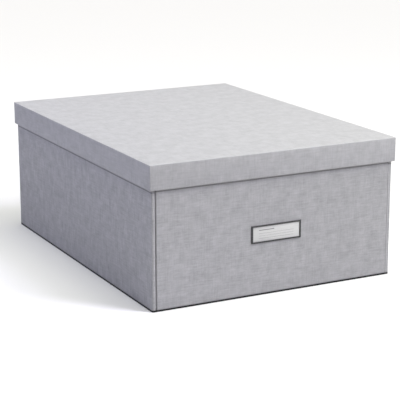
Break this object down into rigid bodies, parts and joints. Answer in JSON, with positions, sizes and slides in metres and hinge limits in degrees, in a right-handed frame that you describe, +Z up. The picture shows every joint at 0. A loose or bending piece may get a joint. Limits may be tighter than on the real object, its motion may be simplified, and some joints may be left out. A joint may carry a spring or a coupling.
{
  "type": "archival box",
  "caption": "Rectangular archival storage box of paper-covered board with a lift-off lid, a framed label holder on its front wall and folded corner flaps held by press snaps.",
  "frame": {"origin": "centre of the footprint, on the surface that the box stands on", "axes": "+Z up, the label holder faces -Y, +X to the right of someone who reads the label"},
  "size_m": [0.35, 0.465, 0.184],
  "materials": {
    "board": "solid grey fibreboard",
    "canvas_paper": "matt canvas-grained light grey paper",
    "liner_paper": "smooth matt off-white paper",
    "base_paper": "matt charcoal paper",
    "tape": "gummed kraft tape",
    "snap_metal": "nickel plated",
    "label_metal": "dark nickel",
    "label_card": "smooth white card"
  },
  "bodies": {
    "box": {"front_board": "board", "front_cover": "canvas_paper", "front_liner": "liner_paper", "back_board": "board", "back_cover": "canvas_paper", "back_liner": "liner_paper", "left_board": "board", "left_cover": "canvas_paper", "left_liner": "liner_paper", "right_board": "board", "right_cover": "canvas_paper", "right_liner": "liner_paper", "base_board": "board", "base_cover": "base_paper", "base_liner": "liner_paper", "left_studs": "snap_metal", "left_stud_posts": "snap_metal", "right_studs": "snap_metal", "right_stud_posts": "snap_metal", "label_frame": "label_metal"},
    "front_left_flap": {"front_left_flap_board": "board", "front_left_flap_cover": "canvas_paper", "front_left_flap_liner": "liner_paper", "front_left_flap_sockets": "snap_metal", "front_left_flap_caps": "snap_metal"},
    "front_right_flap": {"front_right_flap_board": "board", "front_right_flap_cover": "canvas_paper", "front_right_flap_liner": "liner_paper", "front_right_flap_sockets": "snap_metal", "front_right_flap_caps": "snap_metal"},
    "back_left_flap": {"back_left_flap_board": "board", "back_left_flap_cover": "canvas_paper", "back_left_flap_liner": "liner_paper", "back_left_flap_sockets": "snap_metal", "back_left_flap_caps": "snap_metal"},
    "back_right_flap": {"back_right_flap_board": "board", "back_right_flap_cover": "canvas_paper", "back_right_flap_liner": "liner_paper", "back_right_flap_sockets": "snap_metal", "back_right_flap_caps": "snap_metal"},
    "lid": {"lid_panel": "board", "lid_front_rim": "board", "lid_back_rim": "board", "lid_left_rim": "board", "lid_right_rim": "board", "lid_cover": "canvas_paper", "lid_liner": "liner_paper", "lid_corner_tapes": "tape"},
    "card": {"label_card": "label_card"}
  },
  "joints": [
    {"name": "lid_lift", "type": "slide", "parent": "box", "child": "lid", "axis": [0, 0, 1], "range_m": [0, 0.25]},
    {"name": "card_slide", "type": "slide", "parent": "box", "child": "card", "axis": [0, 0, 1], "range_m": [0, 0.024]},
    {"name": "front_left_fold", "type": "hinge", "parent": "box", "child": "front_left_flap", "pos_m": [-0.1646, -0.2279, 0.09], "axis": [0, 0, -1], "range_deg": [0, 18]},
    {"name": "front_right_fold", "type": "hinge", "parent": "box", "child": "front_right_flap", "pos_m": [0.1646, -0.2279, 0.09], "axis": [0, 0, 1], "range_deg": [0, 18]},
    {"name": "back_left_fold", "type": "hinge", "parent": "box", "child": "back_left_flap", "pos_m": [-0.1646, 0.2279, 0.09], "axis": [0, 0, 1], "range_deg": [0, 18]},
    {"name": "back_right_fold", "type": "hinge", "parent": "box", "child": "back_right_flap", "pos_m": [0.1646, 0.2279, 0.09], "axis": [0, 0, -1], "range_deg": [0, 18]}
  ]
}
